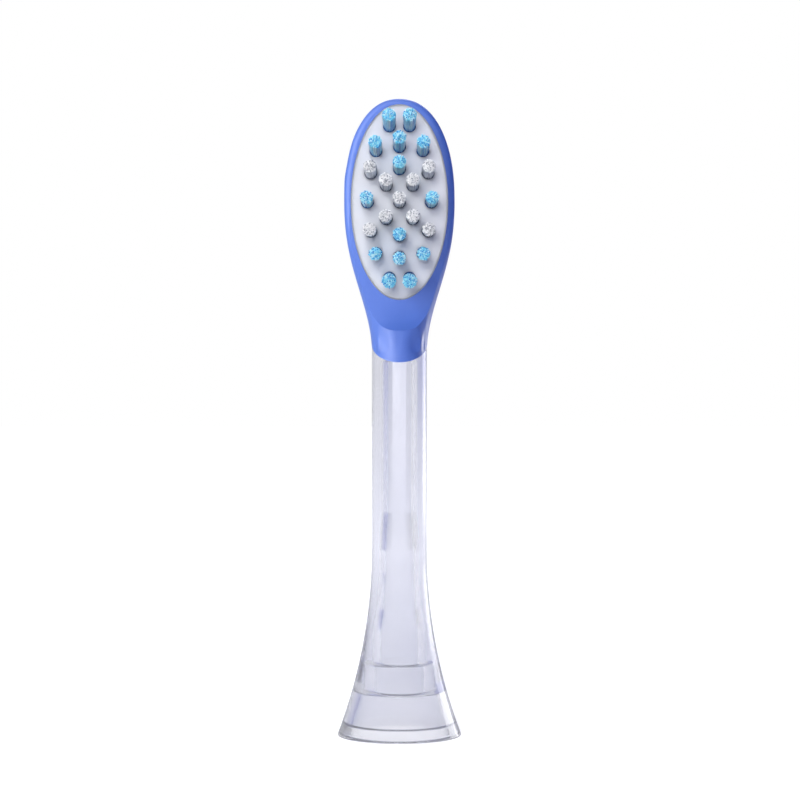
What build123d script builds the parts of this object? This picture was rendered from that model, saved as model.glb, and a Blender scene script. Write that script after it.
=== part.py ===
"""Push-on head for a sonic toothbrush.

A clear moulded neck flares into a round skirt that seats on the handle, and takes the drive shaft in a
stepped, keyed socket. The neck's upper end is a paddle that a blue shell is moulded around. An oval bristle
plate closes the shell's front. Every tuft passes through the plate and is melted into a button behind it.

Sizes are in millimetres and angles in degrees. Z runs up the neck, the bristles point to -Y, and the origin
is the centre of the skirt's mouth.
"""

import math
import os

from build123d import *

# Neck and skirt
overall_height = 75.0
neck_radius = 3.25
base_radius = 7.35
flare_height = 22.0
base_edge_round = 0.35

# Socket, from the mouth upwards
mouth_wall = 1.25
mouth_depth = 1.3
skirt_wall = 1.15
recess_depth = 5.0
collar_radius = 2.95
collar_depth = 3.3
lead_radius = 2.25
lead_length = 5.1
bore_radius = 1.9
bore_length = 3.35
key_radius = 1.65
key_flat = 1.2
key_length = 7.0
core_radius = 1.45
core_cover = 0.8

# Head shell, with depths in front of and behind the neck's axis
head_half_length = 11.9
head_half_width = 6.5
head_fullness = 2.2
head_outline_steps = 12
face_depth = 1.75
back_depth = 3.0
back_wall = 1.05
rim_round = 0.7
back_round = 2.4
shoulder_length = 18.0
shoulder_fullness = 1.2
shoulder_steps = 7
sleeve_length = 1.6
chin_radius = 4.9
chin_land = 0.24
parting_lift = 0.45
parting_slope = 33.5

# Bristle plate, and the spine and paddle that carry it
plate_half_length = 11.46
rim_width_side = 0.81
rim_width_top = 0.75
plate_thickness = 1.8
plate_edge_round = 0.12
plate_gap = 0.03
paddle_inset = 0.35
paddle_rim = 0.3
spine_wall = 1.35
spine_cover = 0.85

# Tufts
tuft_radius = 0.73
tuft_tip_radius = 0.78
tuft_height = 9.5
tuft_tip_bevel = 0.25
tuft_gap = 0.03
tuft_lean = -2.0
tuft_fan = 4.4
button_lip = 0.2
button_thickness = 0.4
button_gap = 0.1

# One quarter of the tuft layout: colour, then place as shares of the plate's half width and half length
tuft_quarter = [
    ("white", 0.0, 0.0),
    ("white", 0.272, 0.171),
    ("white", 0.592, 0.297),
    ("blue", 0.659, 0.0),
    ("blue", 0.0, 0.340),
    ("blue", 0.483, 0.525),
    ("blue", 0.0, 0.567),
    ("blue", 0.207, 0.780),
]

# Places that follow from the sizes
head_centre = overall_height - head_half_length
shoulder_bottom = head_centre - shoulder_length
sleeve_bottom = shoulder_bottom - sleeve_length
flare_spread = base_radius - neck_radius
flare_radius = (flare_spread**2 + flare_height**2) / (2 * flare_spread)
flare_axis = neck_radius + flare_radius
plate_half_width = head_half_width - rim_width_side
plate_centre = overall_height - rim_width_top - plate_half_length
plate_bottom = plate_centre - plate_half_length
plate_back = plate_thickness - face_depth
paddle_back = back_depth - back_wall
parting_plane = Plane(
    origin=(0, -neck_radius, sleeve_bottom + parting_lift),
    z_dir=(0, -math.sin(math.radians(parting_slope)), math.cos(math.radians(parting_slope))),
)


def flare_at(height, inset=0.0):
    """Radius of the skirt's curve at a height, or of the curve that lies an inset inside it."""
    return flare_axis - math.sqrt((flare_radius + inset) ** 2 - (flare_height - height) ** 2)


def turned_neck():
    """The round outside of the skirt and neck, up to where the sleeve begins."""
    foot = (base_radius, 0)
    middle = (flare_at(flare_height / 2), flare_height / 2)
    waist = (neck_radius, flare_height)
    with BuildPart() as turned:
        with BuildSketch(Plane.XZ):
            with BuildLine():
                Line((0, 0), foot)
                ThreePointArc(foot, middle, waist)
                Polyline(waist, (neck_radius, sleeve_bottom), (0, sleeve_bottom), (0, 0))
            make_face()
        revolve(axis=Axis.Z)
        foot_edge = turned.edges().filter_by(GeomType.CIRCLE).group_by(Axis.Z)[0]
        fillet(foot_edge, base_edge_round)
    return turned.part


def socket():
    """The stepped hollow for the handle's collar and drive shaft, with the key's flat left standing in it."""
    mouth_radius = base_radius - mouth_wall
    recess_low = (flare_at(mouth_depth, skirt_wall), mouth_depth)
    recess_half = (mouth_depth + recess_depth) / 2
    recess_middle = (flare_at(recess_half, skirt_wall), recess_half)
    recess_high = (flare_at(recess_depth, skirt_wall), recess_depth)
    collar_top = recess_depth + collar_depth
    lead_top = collar_top + lead_length
    cone_top = lead_top + lead_radius - bore_radius
    key_bottom = cone_top + bore_length
    key_top = key_bottom + key_length
    core_top = shoulder_bottom - core_cover
    with BuildPart() as hollow:
        with BuildSketch(Plane.XZ):
            with BuildLine():
                Polyline((0, 0), (mouth_radius, 0), (mouth_radius, mouth_depth), recess_low)
                ThreePointArc(recess_low, recess_middle, recess_high)
                Polyline(
                    recess_high,
                    (collar_radius, recess_depth),
                    (collar_radius, collar_top),
                    (lead_radius, collar_top),
                    (lead_radius, lead_top),
                    (bore_radius, cone_top),
                    (bore_radius, key_bottom),
                    (key_radius, key_bottom),
                    (key_radius, key_top),
                    (core_radius, key_top),
                    (core_radius, core_top),
                    (0, core_top),
                    (0, 0),
                )
            make_face()
        revolve(axis=Axis.Z)
        with Locations((0, key_flat, key_bottom)):
            Box(
                2 * key_radius,
                key_radius,
                key_length,
                align=(Align.CENTER, Align.MIN, Align.MIN),
                mode=Mode.SUBTRACT,
            )
    return hollow.part


def neck_section():
    """The neck's circle, in arcs that match the corners and sides of a shoulder section."""
    corner_turn = 88
    side_turn = 90 - corner_turn
    with BuildSketch(Plane.XY.offset(shoulder_bottom)) as outline:
        with BuildLine():
            for quarter_turn in (0, 90, 180, 270):
                CenterArc((0, 0), neck_radius, quarter_turn - side_turn / 2, side_turn)
                CenterArc((0, 0), neck_radius, quarter_turn + side_turn / 2, corner_turn)
        make_face()
    return outline.sketch


def shoulder_section(share):
    """A rounded section of the shoulder, at a share of the way up from the neck to the widest place."""
    rise = 1 - (1 - share) ** shoulder_fullness
    blend = (1 - math.cos(math.pi * rise)) / 2
    half_width, front, back, front_corner, back_corner = (
        neck_radius + blend * (head_size - neck_radius)
        for head_size in (head_half_width, face_depth, back_depth, rim_round, back_round)
    )
    with BuildSketch(Plane.XY.offset(shoulder_bottom + share * shoulder_length)) as outline:
        with Locations((0, (back - front) / 2)):
            Rectangle(2 * half_width, front + back)
        fillet(outline.vertices().group_by(Axis.Y)[0], front_corner)
        fillet(outline.vertices().group_by(Axis.Y)[-1], back_corner)
    return outline.sketch


def chin_cut():
    """What is cut away in front of the face, with the hollow chin below it."""
    chin_centre = -face_depth - chin_radius
    chin_top = plate_bottom - chin_land
    with BuildPart() as cutter:
        with BuildSketch(Plane.YZ):
            with BuildLine():
                chin = CenterArc((chin_centre, chin_top), chin_radius, 0, -90)
                Polyline(chin @ 1, (chin_centre, overall_height), (-face_depth, overall_height), chin @ 0)
            make_face()
        extrude(amount=head_half_width + neck_radius, both=True)
    return cutter.part


def shoulder():
    """The round sleeve and its blend to the head's widest section, with the chin cut into the front."""
    shares = [step / shoulder_steps for step in range(1, shoulder_steps + 1)]
    blend = loft([neck_section()] + [shoulder_section(share) for share in shares])
    sleeve = Cylinder(neck_radius, sleeve_length, align=(Align.CENTER, Align.CENTER, Align.MAX))
    return blend + Pos(0, 0, shoulder_bottom) * sleeve - chin_cut()


def head_outline_point(step):
    """A point on the upper half of the head's full oval, counted round from one side to the other."""
    turn = math.pi * step / head_outline_steps
    across = math.copysign(abs(math.cos(turn)) ** (2 / head_fullness), math.cos(turn))
    along = abs(math.sin(turn)) ** (2 / head_fullness)
    return (across * head_half_width, head_centre + along * head_half_length)


def head_top():
    """The upper half of the head: a full oval with a small round in front and a large one behind."""
    inner_points = [head_outline_point(step) for step in range(1, head_outline_steps)]
    right = (head_half_width, head_centre)
    left = (-head_half_width, head_centre)
    with BuildPart() as oval:
        with BuildSketch(Plane.XZ.offset(-back_depth)):
            with BuildLine():
                Spline(right, *inner_points, left, tangents=((0, 1), (0, -1)))
                Line(left, right)
            make_face()
        extrude(amount=face_depth + back_depth)
        curved_edges = oval.edges().filter_by(GeomType.BSPLINE)
        fillet(curved_edges.filter_by_position(Axis.Y, -face_depth, -face_depth), rim_round)
        curved_edges = oval.edges().filter_by(GeomType.BSPLINE)
        fillet(curved_edges.filter_by_position(Axis.Y, back_depth, back_depth), back_round)
    return oval.part


def oval_block(half_width, half_length, front, back):
    """An oval block centred on the plate, between two depths."""
    with BuildPart() as block:
        with BuildSketch(Plane.XZ.offset(-back)):
            with Locations((0, plate_centre)):
                Ellipse(half_width, half_length)
        extrude(amount=back - front)
    return block.part


def spine_and_paddle():
    """The neck's tongue inside the shell: a thick root below the plate, then a thinner run to the paddle."""
    spine_width = 2 * (neck_radius - spine_wall)
    root_depth = paddle_back + face_depth - spine_cover
    root_length = plate_bottom - spine_cover - sleeve_bottom
    with BuildPart() as tongue:
        with Locations((0, paddle_back, sleeve_bottom)):
            Box(spine_width, root_depth, root_length, align=(Align.CENTER, Align.MAX, Align.MIN))
            Box(
                spine_width,
                paddle_back - plate_back,
                plate_centre - sleeve_bottom,
                align=(Align.CENTER, Align.MAX, Align.MIN),
            )
        add(
            oval_block(
                plate_half_width - paddle_inset,
                plate_half_length - paddle_inset,
                plate_back,
                paddle_back,
            )
        )
    return tongue.part


def tuft_layout():
    """Every tuft's colour and place, from the quarter that is mirrored across and along the plate."""
    places = []
    for colour, across, along in tuft_quarter:
        for side in sorted({across, -across}):
            for end in sorted({along, -along}):
                places.append((colour, side, end))
    return places


def tuft_line(across, along):
    """A tuft's own axes: its root is on the plate's face and its Z points out along the bristles."""
    lean = math.radians(tuft_lean + tuft_fan * along)
    return Plane(
        origin=(across * plate_half_width, -face_depth, plate_centre + along * plate_half_length),
        x_dir=(1, 0, 0),
        z_dir=(0, -math.cos(lean), math.sin(lean)),
    )


def tuft_rod(across, along, radius):
    """The part of a tuft's line that lies in the plate, run on into the button and out past the face."""
    reach = plate_thickness + button_thickness / 2
    rod = Cylinder(radius, 2 * reach, align=(Align.CENTER, Align.CENTER, Align.CENTER))
    return tuft_line(across, along) * rod


def tuft_button(across, along):
    """The round button on the plate's back, where a tuft comes through."""
    lean = math.radians(tuft_lean + tuft_fan * along)
    height = plate_centre + along * plate_half_length - plate_thickness * math.tan(lean)
    disc = Cylinder(tuft_radius + button_lip, button_thickness, align=(Align.CENTER, Align.CENTER, Align.MIN))
    return Pos(across * plate_half_width, plate_back, height) * Rot(-90, 0, 0) * disc


def tuft(across, along):
    """A tuft that spreads a little towards its bevelled tip, with its melted button behind the plate."""
    reach = plate_thickness + button_thickness / 2
    line = tuft_line(across, along)
    bristles = Cone(tuft_radius, tuft_tip_radius, tuft_height, align=(Align.CENTER, Align.CENTER, Align.MIN))
    tip_edge = bristles.edges().filter_by(GeomType.CIRCLE).sort_by(Axis.Z)[-1]
    bristles = chamfer(tip_edge, tuft_tip_bevel)
    root = Cylinder(tuft_radius, reach, align=(Align.CENTER, Align.CENTER, Align.MAX))
    return line * (bristles + root) + tuft_button(across, along)


os.makedirs("parts", exist_ok=True)
layout = tuft_layout()
shoulder_body = shoulder()
tongue_body = spine_and_paddle()

# Clear neck, with its collar up to the parting line and a recess in the paddle for the tufts' buttons
collar = split(shoulder_body, bisect_by=parting_plane, keep=Keep.BOTTOM)
neck = turned_neck() + collar + tongue_body - socket()
neck -= oval_block(
    plate_half_width - paddle_inset - paddle_rim,
    plate_half_length - paddle_inset - paddle_rim,
    plate_back,
    plate_back + button_thickness + button_gap,
)
export_step(neck, "parts/neck.step")

# Blue shell above the parting line
shell = split(shoulder_body, bisect_by=parting_plane, keep=Keep.TOP) + head_top()
shell -= oval_block(plate_half_width, plate_half_length, -face_depth - rim_round, plate_back)
shell -= tongue_body
export_step(shell, "parts/head_shell.step")

# Bristle plate
plate = oval_block(plate_half_width - plate_gap, plate_half_length - plate_gap, -face_depth, plate_back)
plate = fillet(plate.edges().sort_by(Axis.Y)[0], plate_edge_round)
for colour, across, along in layout:
    plate -= tuft_rod(across, along, tuft_radius + tuft_gap)
export_step(plate, "parts/bristle_plate.step")

# Tufts, numbered within each colour
tuft_numbers = {"white": 0, "blue": 0}
for colour, across, along in layout:
    tuft_numbers[colour] += 1
    export_step(tuft(across, along), f"parts/tuft_{colour}_{tuft_numbers[colour]:02d}.step")
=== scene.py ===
import math
import random

import bmesh
import bpy
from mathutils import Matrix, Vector


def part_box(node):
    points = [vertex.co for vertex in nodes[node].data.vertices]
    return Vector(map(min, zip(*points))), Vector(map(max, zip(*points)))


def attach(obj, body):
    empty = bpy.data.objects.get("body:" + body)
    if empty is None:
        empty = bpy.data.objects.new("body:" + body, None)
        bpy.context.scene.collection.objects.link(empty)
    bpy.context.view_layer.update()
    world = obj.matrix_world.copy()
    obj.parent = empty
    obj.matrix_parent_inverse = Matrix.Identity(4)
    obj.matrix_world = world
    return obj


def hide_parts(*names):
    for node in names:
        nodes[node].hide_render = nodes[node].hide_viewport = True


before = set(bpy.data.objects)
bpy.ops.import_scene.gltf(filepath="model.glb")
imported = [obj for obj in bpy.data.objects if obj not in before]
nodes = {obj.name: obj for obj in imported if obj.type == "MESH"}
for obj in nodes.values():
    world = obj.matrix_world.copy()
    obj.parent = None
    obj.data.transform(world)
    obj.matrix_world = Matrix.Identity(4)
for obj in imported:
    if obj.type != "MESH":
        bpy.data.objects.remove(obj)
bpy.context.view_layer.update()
plate_low, plate_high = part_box("bristle_plate")
plate_middle = (plate_low + plate_high) / 2
MM = 0.001

# Outside of the clear neck, in millimetres
NECK_RADIUS = 3.25
BASE_RADIUS = 7.35
FLARE_HEIGHT = 22.0
FOOT_ROUND = 0.35

# Socket in the clear neck, in millimetres
MOUTH_RADIUS = 6.1
MOUTH_DEPTH = 1.3
SKIRT_WALL = 1.15
RECESS_DEPTH = 5.0
COLLAR_RADIUS = 2.95
COLLAR_TOP = 8.3
LEAD_RADIUS = 2.25
LEAD_TOP = 13.4
BORE_RADIUS = 1.9
CONE_TOP = 13.75
KEY_RADIUS = 1.65
KEY_FLAT = 1.2
KEY_BOTTOM = 17.1
KEY_TOP = 24.1
CORE_RADIUS = 1.45
CORE_TOP = 44.3
EDGE_ROUND = 0.3
KEY_ROUND = 4.0
KEY_EASE = 2.2
CONE_EASE = 1.1

# Parting face, tongue and paddle of the clear neck, in millimetres
PARTING_LOW = 43.95
PARTING_SLOPE = math.radians(33.5)
TONGUE_HALF_WIDTH = 1.9
TONGUE_FRONT = -0.9
TONGUE_TOP = 50.48
PADDLE_FRONT = 0.05
PADDLE_BACK = 1.95
PADDLE_CENTRE = 62.79
PADDLE_HALF_WIDTH = 5.34
PADDLE_HALF_LENGTH = 11.11
SEAM_BITE = 0.03
SEAM_EDGE = 0.15

# Fineness of the meshes
RING_POINTS = 144
CURVE_RINGS = 40
RECESS_RINGS = 14
PADDLE_RINGS = 20
CORNER_STEPS = 5
CORNER_GUARD = 1.15
CORNER_SHARE = 0.42
SHARP_ANGLE = math.radians(50)
TINY = 1e-9
TURNS = [math.tau * step / RING_POINTS for step in range(RING_POINTS)]

# Tufts, in metres
FILAMENT_COUNT = 100
FILAMENT_RADIUS = 0.08 * MM
FILAMENT_SIDES = 7
FILAMENT_ROOT = 0.4 * MM
TUFT_RADIUS = 0.73 * MM
TUFT_DOME = 0.42 * MM
DOME_POWER = 2.2
PLUG_RADIUS = 0.75 * MM
PLUG_RISE = 0.03 * MM
PLUG_SIDES = 40
TIP_SPLAY = 1.16
END_ROW_SPLAY = 1.28
END_ROW_SHARE = 0.3
PLACE_JITTER = 0.012 * MM
TIP_JITTER = 0.018 * MM
LENGTH_LESS = 0.08 * MM
LENGTH_MORE = 0.032 * MM
SHADE_LOW = 0.2
SHADE_MIDDLE = 0.5
SHADE_SPREAD = 0.32
# Share of a filament's length over which painted shade darkens it from the plate
PAINTED_ROOT_SHADE_SHARE = 0.3
CAP_READ = 0.15 * MM
GOLDEN_TURN = math.pi * (3.0 - math.sqrt(5.0))

# Stations along a filament: share of its length, and share of its radius
STATIONS = [(0.0, 1.0), (0.12, 1.0), (0.3, 1.0), (0.7, 1.0), (0.982, 1.0), (0.992, 0.88), (0.998, 0.6)]

# Edge of the plate, in metres
EDGE_STEPS = 240
EDGE_SIDES = 10
EDGE_RADIUS = 0.08 * MM
EDGE_SINK = 0.05 * MM

# Finish of the plastics: heights and depths in metres, absorption per metre
NOISE_RANGE = (0.3, 0.7)
MOTTLE_LOW = 0.25
MOTTLE_HIGH = 0.75
WAVE_STRETCH = (1.0, 1.0, 0.2)
WAVE_HEIGHT = 0.03 * MM
GRAIN_HEIGHT = 0.01 * MM
PLATE_SCATTER = 1.8 * MM
BRISTLE_SCATTER = 0.6 * MM
EVEN_SCATTER = (1.0, 1.0, 1.0)
CLEAR_BODY = (0.66, 0.67, 0.75, 1.0)
CLEAR_DENSITY = 128.0

# Floor: distances in metres, and its glow near the part and far from it
FLOOR_REACH = 3.0
FLOOR_FADE = (0.06, 0.4)
FLOOR_GLOW = (0.71, 1.0)
FLOOR_BEHIND = (0.1, 0.4)

# World: colours in linear light, and the directions between which they change
NONE_TO_ALL = (0.0, 1.0)
ALL_TO_NONE = (1.0, 0.0)
WHITE = (1.0, 1.0, 1.0, 1.0)
ROOM_LEFT = (0.22, 0.22, 0.22, 1.0)
ROOM_RIGHT = (0.01, 0.02, 0.22, 1.0)
SIDE_TINT = (0.42, 0.45, 0.78, 1.0)
ROOM_TURN = (-0.6, 0.6)
TINT_TURN = (-0.8, -0.2)
BEHIND_TURN = (0.7, 0.98)

# What the lamps aim at, in metres
HEAD = (0.0, 0.0, 0.06)
NECK = (0.0, 0.0, 0.045)
SLEEVE = (0.0, 0.0, 0.041)
SOCKET = (0.0, 0.0, 0.03)

# Camera, from the photograph's framing
CAMERA_PLACE = (0.07 * MM, -262.6 * MM, 39.555 * MM)
CAMERA_LENS = 100.0
CAMERA_SENSOR = 36.0


def srgb(red, green, blue):
    """A colour given as 0 to 255 display values, in linear light."""
    parts = []
    for value in (red, green, blue):
        share = value / 255.0
        parts.append(share / 12.92 if share <= 0.04045 else ((share + 0.055) / 1.055) ** 2.4)
    return (*parts, 1.0)


class Nodes:
    """A node tree with a few short ways to add to it."""

    def __init__(self, tree):
        self.tree = tree

    def add(self, kind, **values):
        node = self.tree.nodes.new(kind)
        for key, value in values.items():
            setattr(node, key, value)
        return node

    def link(self, output, entry):
        self.tree.links.new(output, entry)

    def maths(self, operation, first, second):
        """One sum on two outputs."""
        node = self.add("ShaderNodeMath", operation=operation)
        self.link(first, node.inputs[0])
        self.link(second, node.inputs[1])
        return node.outputs["Value"]

    def blend(self, share, first, second):
        """From one colour output to another by share."""
        node = self.add("ShaderNodeMixRGB")
        for entry, output in (("Fac", share), ("Color1", first), ("Color2", second)):
            self.link(output, node.inputs[entry])
        return node.outputs["Color"]

    def spread(self, source, wanted, given=NOISE_RANGE):
        """source, which runs over the given range, brought to run over the wanted one."""
        node = self.add("ShaderNodeMapRange")
        sockets = ("From Min", "From Max", "To Min", "To Max")
        for socket, value in zip(sockets, (*given, *wanted)):
            node.inputs[socket].default_value = value
        self.link(source, node.inputs["Value"])
        return node.outputs["Result"]

    def colours(self, source, *stops):
        """Colours along source, each stop a share and a colour."""
        node = self.add("ShaderNodeValToRGB")
        ramp = node.color_ramp
        while len(ramp.elements) < len(stops):
            ramp.elements.new(1.0)
        for element, (share, colour) in zip(ramp.elements, stops):
            element.position = share
            element.color = colour
        self.link(source, node.inputs["Fac"])
        return node.outputs["Color"]

    def shown(self, behind):
        """1 for rays from the camera or through the plastic, and for mirrored rays the share behind."""
        rays = self.add("ShaderNodeLightPath").outputs
        mirrored = self.maths("MULTIPLY", behind, rays["Is Glossy Ray"])
        seen = self.maths("MAXIMUM", rays["Is Camera Ray"], rays["Is Transmission Ray"])
        return self.maths("MAXIMUM", seen, mirrored)


class Surface(Nodes):
    """A node material built around one Principled shader, in object coordinates."""

    def __init__(self, name, **values):
        self.material = bpy.data.materials.new(name)
        self.material.use_nodes = True
        super().__init__(self.material.node_tree)
        self.shader = self.tree.nodes["Principled BSDF"]
        self.places = self.add("ShaderNodeTexCoord").outputs["Object"]
        for socket, value in values.items():
            self.shader.inputs[socket.replace("_", " ")].default_value = value

    def noise(self, per_mm, detail=3.0, rough=0.55, stretch=(1.0, 1.0, 1.0)):
        """Noise with about per_mm features to the millimetre."""
        mapping = self.add("ShaderNodeMapping")
        mapping.inputs["Scale"].default_value = stretch
        self.link(self.places, mapping.inputs["Vector"])
        noise = self.add("ShaderNodeTexNoise")
        noise.inputs["Scale"].default_value = per_mm / MM
        noise.inputs["Detail"].default_value = detail
        noise.inputs["Roughness"].default_value = rough
        self.link(mapping.outputs["Vector"], noise.inputs["Vector"])
        return noise.outputs["Fac"]

    def drive(self, socket, output):
        self.link(output, self.shader.inputs[socket])

    def mottle(self, per_mm, first, second):
        """A base colour that drifts from one colour to another and back."""
        stops = ((MOTTLE_LOW, first), (MOTTLE_HIGH, second))
        self.drive("Base Color", self.colours(self.noise(per_mm), *stops))

    def roughen(self, per_mm, low, high):
        """A roughness that drifts between two values."""
        self.drive("Roughness", self.spread(self.noise(per_mm), (low, high)))

    def bump(self, source, strength, height):
        node = self.add("ShaderNodeBump")
        node.inputs["Strength"].default_value = strength
        node.inputs["Distance"].default_value = height
        self.link(source, node.inputs["Height"])
        self.drive("Normal", node.outputs["Normal"])


def clear_plastic():
    """Clear moulded plastic with a faint milky violet body and slight waves from the mould."""
    made = Surface("clear_plastic", Transmission_Weight=0.9, IOR=1.45)
    made.mottle(0.1, srgb(242, 243, 247), srgb(247, 247, 250))
    made.roughen(0.12, low=0.13, high=0.19)
    made.bump(made.noise(0.18, detail=2.0, stretch=WAVE_STRETCH), strength=0.12, height=WAVE_HEIGHT)
    body = made.add("ShaderNodeVolumeAbsorption")
    body.inputs["Color"].default_value = CLEAR_BODY
    body.inputs["Density"].default_value = CLEAR_DENSITY
    made.link(body.outputs["Volume"], made.tree.nodes["Material Output"].inputs["Volume"])
    return made.material


def blue_shell():
    """Blue moulding with a broad satin sheen."""
    made = Surface("blue_shell", IOR=1.58, Specular_IOR_Level=1.0)
    made.mottle(0.35, srgb(90, 131, 231), srgb(95, 136, 235))
    made.roughen(0.9, low=0.47, high=0.55)
    made.bump(made.noise(5.0, detail=2.0), strength=0.08, height=GRAIN_HEIGHT)
    return made.material


def pale_plate():
    """Pale satin moulding, almost white."""
    made = Surface(
        "pale_plate",
        IOR=1.47,
        Subsurface_Weight=0.9,
        Subsurface_Scale=PLATE_SCATTER,
        Subsurface_Radius=EVEN_SCATTER,
    )
    made.mottle(0.5, srgb(207, 208, 214), srgb(213, 214, 219))
    made.roughen(1.2, low=0.38, high=0.5)
    made.bump(made.noise(5.0, detail=2.0), strength=0.08, height=GRAIN_HEIGHT)
    return made.material


def bristle(name, root, dark, mid, light):
    """Nylon whose shade differs from filament to filament, with painted shade where it leaves its hole."""
    made = Surface(
        name,
        Specular_IOR_Level=0.25,
        Subsurface_Weight=0.8,
        Subsurface_Scale=BRISTLE_SCATTER,
        Subsurface_Radius=EVEN_SCATTER,
    )
    shade = made.add("ShaderNodeAttribute", attribute_name="shade").outputs["Fac"]
    # The first stop, root, is painted shade for the filaments' feet, not a colour of the nylon
    stops = ((0.0, root), (SHADE_LOW, dark), ((SHADE_LOW + 1) / 2, mid), (1.0, light))
    made.drive("Base Color", made.colours(shade, *stops))
    made.roughen(6.0, low=0.25, high=0.4)
    return made.material


materials = {
    "clear_plastic": clear_plastic(),
    "blue_shell": blue_shell(),
    "pale_plate": pale_plate(),
    "blue_bristle": bristle(
        "blue_bristle",
        # root: painted shade at the tufts' feet
        root=srgb(26, 66, 132),
        dark=srgb(44, 138, 212),
        mid=srgb(114, 209, 242),
        light=srgb(208, 243, 252),
    ),
    "white_bristle": bristle(
        "white_bristle",
        # root: painted shade at the tufts' feet
        root=srgb(92, 94, 112),
        dark=srgb(146, 150, 160),
        mid=srgb(229, 230, 232),
        light=srgb(250, 250, 251),
    ),
}


def new_piece(name, points, faces, slot):
    """A smooth mesh that rides on the part, with its faces turned outwards."""
    mesh = bpy.data.meshes.new(name)
    mesh.from_pydata([tuple(p) for p in points], [], faces)
    shape = bmesh.new()
    shape.from_mesh(mesh)
    bmesh.ops.recalc_face_normals(shape, faces=shape.faces)
    shape.to_mesh(mesh)
    shape.free()
    mesh.polygons.foreach_set("use_smooth", [True] * len(mesh.polygons))
    mesh.set_sharp_from_angle(angle=SHARP_ANGLE)
    mesh.materials.append(materials[slot])
    piece = bpy.data.objects.new(name, mesh)
    bpy.context.scene.collection.objects.link(piece)
    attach(piece, "root")
    return piece


def walls(start, rings, sides, closed=False):
    """Faces that join each ring of points to the next, and the last to the first where closed."""
    faces = []
    for ring in range(rings if closed else rings - 1):
        near = start + ring * sides
        far = start + (ring + 1) % rings * sides
        for step in range(sides):
            after = (step + 1) % sides
            faces.append((near + step, near + after, far + after, far + step))
    return faces


def fan(start, sides, point):
    """Faces that join a ring of points to one point."""
    return [(start + step, start + (step + 1) % sides, point) for step in range(sides)]


def flare_at(height, inset=0.0):
    """Radius of the skirt's curve at a height, or of the curve that lies an inset inside it."""
    spread = BASE_RADIUS - NECK_RADIUS
    radius = (spread**2 + FLARE_HEIGHT**2) / (2 * spread)
    return NECK_RADIUS + radius - math.sqrt((radius + inset) ** 2 - (FLARE_HEIGHT - height) ** 2)


def rounded(outline, radius):
    """An outline with its inner corners eased by a radius, or by what there is room for."""
    eased = [outline[0]]
    for before, corner, after in zip(outline, outline[1:], outline[2:]):
        corner = Vector(corner)
        back = Vector(before) - corner
        on = Vector(after) - corner
        room = CORNER_SHARE * min(back.length, on.length)
        reach = min(radius / math.tan(back.angle(on) / 2), room)
        back.normalize()
        on.normalize()
        shares = [step / CORNER_STEPS for step in range(CORNER_STEPS + 1)]
        bend = [corner + back * reach * (1 - share) ** 2 + on * reach * share**2 for share in shares]
        eased += [corner + back * reach * CORNER_GUARD, *bend, corner + on * reach * CORNER_GUARD]
    return [tuple(place) for place in eased] + [outline[-1]]


def socket_outline():
    """The socket from its blind end down to the foot, as radius and height.

    The steps at the key and the cone are eased, so that they leave no hard lines in the clear plastic.
    """
    core_middle = (CORE_RADIUS, (CORE_TOP + KEY_TOP) / 2)
    lead_middle = (LEAD_RADIUS, (LEAD_TOP + COLLAR_TOP) / 2)
    blind = [(0.0, CORE_TOP), (CORE_RADIUS, CORE_TOP), core_middle]
    key = [
        core_middle,
        (CORE_RADIUS, KEY_TOP + KEY_EASE),
        (KEY_RADIUS, KEY_TOP - KEY_EASE),
        (KEY_RADIUS, KEY_BOTTOM + KEY_EASE),
        (BORE_RADIUS, KEY_BOTTOM - KEY_EASE),
        (BORE_RADIUS, CONE_TOP + CONE_EASE),
        (LEAD_RADIUS, LEAD_TOP - CONE_EASE),
        lead_middle,
    ]
    lead = [
        lead_middle,
        (LEAD_RADIUS, COLLAR_TOP),
        (COLLAR_RADIUS, COLLAR_TOP),
        (COLLAR_RADIUS, RECESS_DEPTH),
        (flare_at(RECESS_DEPTH, SKIRT_WALL), RECESS_DEPTH),
    ]
    drop = (RECESS_DEPTH - MOUTH_DEPTH) / RECESS_RINGS
    heights = [RECESS_DEPTH - drop * step for step in range(1, RECESS_RINGS)]
    wall = [(flare_at(height, SKIRT_WALL), height) for height in heights]
    mouth = [
        (flare_at(MOUTH_DEPTH, SKIRT_WALL), MOUTH_DEPTH),
        (MOUTH_RADIUS, MOUTH_DEPTH),
        (MOUTH_RADIUS, 0.0),
        ((MOUTH_RADIUS + BASE_RADIUS) / 2, 0.0),
    ]
    return (
        rounded(blind, EDGE_ROUND)
        + rounded(key, KEY_ROUND)[1:]
        + rounded(lead + wall[:1], EDGE_ROUND)[1:]
        + wall[1:-1]
        + rounded(wall[-1:] + mouth, EDGE_ROUND)
    )


def outside_outline():
    """The outside from the foot up to the plain neck, as radius and height."""
    heights = [FLARE_HEIGHT * step / CURVE_RINGS for step in range(1, CURVE_RINGS + 1)]
    curve = [(flare_at(height), height) for height in heights]
    foot = [((MOUTH_RADIUS + BASE_RADIUS) / 2, 0.0), (BASE_RADIUS, 0.0), curve[1]]
    return rounded(foot, FOOT_ROUND)[1:] + curve[2:]


def turned_ring(radius, height, flat=math.inf):
    """A level circle, cut off by the key's flat where there is one."""
    return [(radius * math.cos(turn), min(radius * math.sin(turn), flat), height) for turn in TURNS]


def parting_height(depth):
    """Height of the slanted parting face at a depth behind the neck's axis."""
    return PARTING_LOW + (depth + NECK_RADIUS) * math.tan(PARTING_SLOPE)


def slanted_ring(radius, lift):
    """A circle laid on the slanted parting face."""
    ring = []
    for turn in TURNS:
        depth = radius * math.sin(turn)
        ring.append((radius * math.cos(turn), depth, parting_height(depth) + lift))
    return ring


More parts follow.
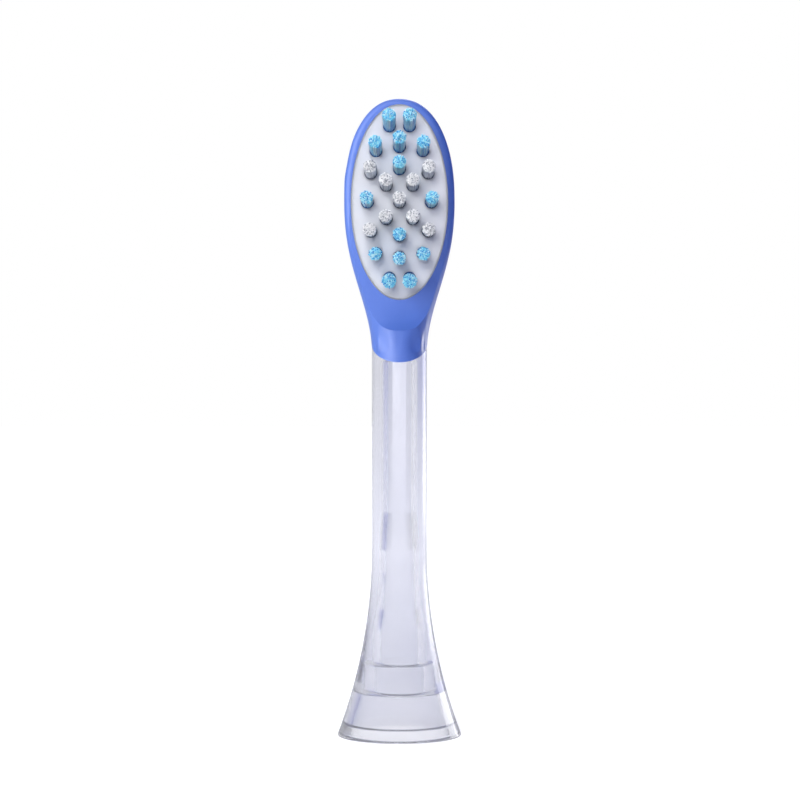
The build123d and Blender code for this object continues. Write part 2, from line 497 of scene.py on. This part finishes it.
def box_ring(half_width, front, back, height=None):
    """A rectangle round the tongue, level or laid on the parting face."""
    middle = (front + back) / 2
    half_depth = (back - front) / 2
    ring = []
    for turn in TURNS:
        reach = min(
            half_width / max(abs(math.cos(turn)), TINY),
            half_depth / max(abs(math.sin(turn)), TINY),
        )
        depth = middle + reach * math.sin(turn)
        level = parting_height(depth) + SEAM_BITE if height is None else height
        ring.append((reach * math.cos(turn), depth, level))
    return ring


def tongue_rings():
    """The tongue and paddle, pressed a hair into the shell so that no air shows between them."""
    width = TONGUE_HALF_WIDTH + SEAM_BITE
    front = TONGUE_FRONT - SEAM_BITE
    back = PADDLE_BACK + SEAM_BITE
    rings = [
        box_ring(width, front, back),
        box_ring(width, front, back, TONGUE_TOP),
        box_ring(width, PADDLE_FRONT, back, TONGUE_TOP),
    ]
    for step in range(PADDLE_RINGS):
        share = -math.cos(math.pi * (step + 0.5) / PADDLE_RINGS)
        oval = PADDLE_HALF_WIDTH * math.sqrt(1 - share**2)
        across = max(oval, width) if share < 0 else oval
        rings.append(box_ring(across, PADDLE_FRONT, back, PADDLE_CENTRE + share * PADDLE_HALF_LENGTH))
    return rings, (0.0, (PADDLE_FRONT + back) / 2, PADDLE_CENTRE + PADDLE_HALF_LENGTH)


def clear_neck():
    """The clear neck as one closed skin of rings, from the socket's blind end out and up to the paddle."""
    rings = []
    for radius, height in socket_outline()[1:]:
        keyed = KEY_BOTTOM < height < KEY_TOP and radius < (KEY_RADIUS + BORE_RADIUS) / 2
        rings.append(turned_ring(radius, height, KEY_FLAT if keyed else math.inf))
    rings += [turned_ring(radius, height) for radius, height in outside_outline()]
    rings.append(slanted_ring(NECK_RADIUS, 0.0))
    rings.append(slanted_ring(NECK_RADIUS - SEAM_EDGE, SEAM_BITE))
    inner_rings, top = tongue_rings()
    rings += inner_rings
    points = [(0.0, 0.0, CORE_TOP)]
    for ring in rings:
        points += ring
    faces = walls(1, len(rings), RING_POINTS)
    faces += fan(1, RING_POINTS, 0)
    faces += fan(len(points) - RING_POINTS, RING_POINTS, len(points))
    points.append(top)
    piece = new_piece("clear_neck", [Vector(p) * MM for p in points], faces, "clear_plastic")
    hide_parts("neck")
    return piece


def bright_edge():
    """The plate's rounded edge, a fine bead along the joint with the shell."""
    half = (plate_high - plate_low) / 2
    inward = Vector((0.0, 1.0, 0.0))
    points = []
    for step in range(EDGE_STEPS):
        turn = math.tau * step / EDGE_STEPS
        across = half.x * math.cos(turn)
        height = plate_middle.z + half.z * math.sin(turn)
        place = Vector((across, plate_low.y + EDGE_SINK, height))
        out = Vector((math.cos(turn) / half.x, 0.0, math.sin(turn) / half.z)).normalized()
        for side in range(EDGE_SIDES):
            angle = math.tau * side / EDGE_SIDES
            points.append(place + (out * math.cos(angle) + inward * math.sin(angle)) * EDGE_RADIUS)
    faces = walls(0, EDGE_STEPS, EDGE_SIDES, closed=True)
    return new_piece("plate_edge", points, faces, "pale_plate")


def mean(points):
    """The middle of some points."""
    points = list(points)
    return sum(points, Vector()) / len(points)


def tuft_line(node):
    """A tuft's root on the plate's face and the middle of its tip, from its solid."""
    points = [v.co for v in nodes[node].data.vertices]
    front = min(p.y for p in points)
    back = max(p.y for p in points)
    tip = mean(p for p in points if p.y < front + CAP_READ)
    button = mean(p for p in points if p.y > back - CAP_READ)
    share = (plate_low.y - button.y) / (tip.y - button.y)
    return button.lerp(tip, share), tip


class Bundle:
    """A tuft's mesh as it grows, from places along the tuft, across it and up it."""

    def __init__(self, root, tip):
        self.root = root
        self.axis = (tip - root).normalized()
        self.side = Vector((1.0, 0.0, 0.0))
        self.rise = self.axis.cross(self.side).normalized()
        self.points = []
        self.shades = []
        self.faces = []

    def add(self, along, across, up, shade):
        self.points.append(self.root + self.axis * along + self.side * across + self.rise * up)
        self.shades.append(shade)

    def ring(self, middle, radius, sides, shade, turn=0.0):
        """Adds a ring of points square to the tuft."""
        along, across, up = middle
        for step in range(sides):
            angle = turn + step * math.tau / sides
            self.add(along, across + radius * math.cos(angle), up + radius * math.sin(angle), shade)

    def plug(self):
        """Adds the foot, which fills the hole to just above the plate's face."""
        # The foot takes shade 0, the root colour, as painted shade in the hole
        for along in (-FILAMENT_ROOT, PLUG_RISE):
            self.ring((along, 0.0, 0.0), PLUG_RADIUS, PLUG_SIDES, shade=0.0)
        self.faces += [tuple(range(PLUG_SIDES)), tuple(range(PLUG_SIDES, 2 * PLUG_SIDES))]
        self.faces += walls(0, 2, PLUG_SIDES)

    def filament(self, foot, end, reach, shade, turn):
        """Adds one filament that leans from its foot to its end, with painted shade that darkens it where
        it leaves the plate.
        """
        start = len(self.points)
        for share, width in STATIONS:
            along = share * reach - FILAMENT_ROOT * (1 - share)
            across, up = (low + (high - low) * share**2 for low, high in zip(foot, end))
            # Painted shade: the filament's tone falls to the root colour towards the plate
            tone_with_painted_root_shade = shade * min(1.0, share / PAINTED_ROOT_SHADE_SHARE)
            self.ring((along, across, up), FILAMENT_RADIUS * width, FILAMENT_SIDES, tone_with_painted_root_shade, turn)
        self.faces += walls(start, len(STATIONS), FILAMENT_SIDES)
        self.faces += fan(len(self.points) - FILAMENT_SIDES, FILAMENT_SIDES, len(self.points))
        self.add(reach, *end, shade)


def bundle_places(rng):
    """Filament places across a round tuft, in a spiral that is nudged a little."""
    reach = TUFT_RADIUS - FILAMENT_RADIUS
    places = []
    for number in range(FILAMENT_COUNT):
        out = reach * math.sqrt((number + 0.5) / FILAMENT_COUNT)
        turn = number * GOLDEN_TURN
        across = out * math.cos(turn) + rng.uniform(-PLACE_JITTER, PLACE_JITTER)
        up = out * math.sin(turn) + rng.uniform(-PLACE_JITTER, PLACE_JITTER)
        places.append((across, up))
    return places


def filament_tuft(node):
    """A tuft as filaments in a packed foot, spreading to a domed and uneven tip."""
    _, colour, number = node.split("_")
    root, tip = tuft_line(node)
    length = (tip - root).length
    height_share = (root.z - plate_low.z) / (plate_middle.z - plate_low.z)
    splay = END_ROW_SPLAY if height_share < END_ROW_SHARE else TIP_SPLAY
    bundle = Bundle(root, tip)
    bundle.plug()
    rng = random.Random(f"{colour}{number}")
    for across, up in bundle_places(rng):
        out = math.hypot(across, up) / TUFT_RADIUS
        reach = length - TUFT_DOME * out**DOME_POWER + rng.uniform(-LENGTH_LESS, LENGTH_MORE)
        end_across = across * splay + rng.gauss(0, TIP_JITTER)
        end_up = up * splay + rng.gauss(0, TIP_JITTER)
        lightness = min(1.0, max(0.0, rng.gauss(SHADE_MIDDLE, SHADE_SPREAD)))
        shade = SHADE_LOW + (1 - SHADE_LOW) * lightness
        turn = rng.uniform(0, math.tau)
        bundle.filament((across, up), (end_across, end_up), reach, shade, turn)
    piece = new_piece(f"filaments_{colour}_{number}", bundle.points, bundle.faces, f"{colour}_bristle")
    piece.data.attributes.new("shade", "FLOAT", "POINT").data.foreach_set("value", bundle.shades)
    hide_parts(node)


def floor_surface():
    """A matt floor that glows white where it is seen, and less near the part, so that its shadow shows."""
    made = Surface(
        "floor",
        Base_Color=srgb(198, 198, 200),
        Emission_Color=WHITE,
        Roughness=0.9,
        Specular_IOR_Level=0.0,
    )
    place = made.add("ShaderNodeSeparateXYZ")
    made.link(made.places, place.inputs["Vector"])
    behind = made.spread(place.outputs["Y"], NONE_TO_ALL, FLOOR_BEHIND)
    gap = made.add("ShaderNodeVectorMath", operation="LENGTH")
    made.link(made.places, gap.inputs[0])
    glow = made.spread(gap.outputs["Value"], FLOOR_GLOW, FLOOR_FADE)
    made.drive("Emission Strength", made.maths("MULTIPLY", glow, made.shown(behind)))
    return made.material


def add_floor():
    """A wide level floor that the part stands on."""
    corners = [(x * FLOOR_REACH, y * FLOOR_REACH, 0) for x, y in ((-1, -1), (1, -1), (1, 1), (-1, 1))]
    mesh = bpy.data.meshes.new("floor")
    mesh.from_pydata(corners, [], [(0, 1, 2, 3)])
    mesh.materials.append(floor_surface())
    floor = bpy.data.objects.new("floor", mesh)
    bpy.context.scene.collection.objects.link(floor)


def add_world():
    """White where it is seen, and behind the part where it is mirrored; elsewhere a soft room.

    The room is pale on the left and dim blue on the right. What shows through the clear plastic
    from the left is tinted violet.
    """
    world = bpy.data.worlds.new("studio")
    bpy.context.scene.world = world
    world.use_nodes = True
    made = Nodes(world.node_tree)
    way = made.add("ShaderNodeSeparateXYZ")
    made.link(made.add("ShaderNodeTexCoord").outputs["Generated"], way.inputs["Vector"])
    rightwards = made.spread(way.outputs["X"], NONE_TO_ALL, ROOM_TURN)
    room = made.colours(rightwards, (0.0, ROOM_LEFT), (1.0, ROOM_RIGHT))
    leftwards = made.spread(way.outputs["X"], ALL_TO_NONE, TINT_TURN)
    through = made.add("ShaderNodeLightPath").outputs["Is Transmission Ray"]
    tint = made.maths("MULTIPLY", leftwards, through)
    backdrop = made.colours(tint, (0.0, WHITE), (1.0, SIDE_TINT))
    behind = made.spread(way.outputs["Y"], NONE_TO_ALL, BEHIND_TURN)
    sky = made.blend(made.shown(behind), room, backdrop)
    made.link(sky, made.tree.nodes["Background"].inputs["Color"])


def lamp(name, place, target, width, height, level):
    """A soft box that lights a matt white surface at target to about level."""
    data = bpy.data.lights.new(name, "AREA")
    data.shape = "RECTANGLE"
    data.size = width
    data.size_y = height
    gap = Vector(place) - Vector(target)
    data.energy = level * math.pi**2 * gap.length_squared
    made = bpy.data.objects.new(name, data)
    made.location = place
    made.rotation_mode = "QUATERNION"
    made.rotation_quaternion = (-gap).to_track_quat("-Z", "Y")
    bpy.context.scene.collection.objects.link(made)
    return made


def keep_off(source, pieces):
    """Keeps a lamp's light off some pieces."""
    skipped = bpy.data.collections.new(f"{source.name}_skips")
    for piece in pieces:
        skipped.objects.link(piece)
    source.light_linking.receiver_collection = skipped
    for entry in skipped.collection_objects:
        entry.light_linking.link_state = "EXCLUDE"


# Pieces of the part
neck = clear_neck()
for node, name in (("head_shell", "blue_shell"), ("bristle_plate", "pale_plate")):
    nodes[node].data.materials.clear()
    nodes[node].data.materials.append(materials[name])
plate_edge = bright_edge()
for node in sorted(n for n in nodes if n.startswith("tuft_")):
    filament_tuft(node)

add_floor()
add_world()

# Lamps in front of the part, above it and behind it
front = lamp("front", place=(-0.03, -0.5, 0.085), target=HEAD, width=0.1, height=0.1, level=0.94)
left = lamp("left", place=(-0.32, -0.32, 0.09), target=HEAD, width=0.3, height=0.4, level=0.92)
lamp("top", place=(-0.1, -0.25, 0.42), target=HEAD, width=0.3, height=0.3, level=0.28)
rear = lamp("rear", place=(0.1, 0.4, 0.42), target=NECK, width=0.3, height=0.3, level=0.45)
front.visible_glossy = False

# Lamps behind on the right that only gloss shows: a panel for the clear plastic and a beam on the sleeve
edge = lamp("edge", place=(0.36, 0.28, 0.12), target=SOCKET, width=0.25, height=0.25, level=0.4)
beam = lamp("beam", place=(0.36, 0.28, 0.05), target=SLEEVE, width=0.1, height=0.1, level=1.4)

# As a spot, the beam gives about a quarter of its level
beam.data.type = "SPOT"
beam.data.spot_size = math.radians(4.0)
beam.data.spot_blend = 0.7
beam.data.shadow_soft_size = 0.005
for source in (edge, beam):
    source.visible_diffuse = False
for source in (front, rear, edge, beam):
    source.visible_transmission = False

# Light linking, so that each lamp shapes the pieces that it is meant for
keep_off(front, [nodes["head_shell"]])
keep_off(left, [nodes["bristle_plate"], plate_edge, neck])
keep_off(edge, [nodes["head_shell"]])
keep_off(beam, [neck])

# Paths long enough for light to run down inside the clear neck
bpy.context.scene.cycles.max_bounces = 32
bpy.context.scene.cycles.glossy_bounces = 24
bpy.context.scene.cycles.transmission_bounces = 24

camera_data = bpy.data.cameras.new("camera")
camera_data.lens = CAMERA_LENS
camera_data.sensor_width = CAMERA_SENSOR
camera_data.clip_start = 0.01
camera_data.clip_end = 20.0
camera = bpy.data.objects.new("camera", camera_data)
camera.location = CAMERA_PLACE
camera.rotation_euler = (math.pi / 2, 0.0, 0.0)
bpy.context.scene.collection.objects.link(camera)
bpy.context.scene.camera = camera

bpy.context.scene.view_settings.view_transform = "Standard"
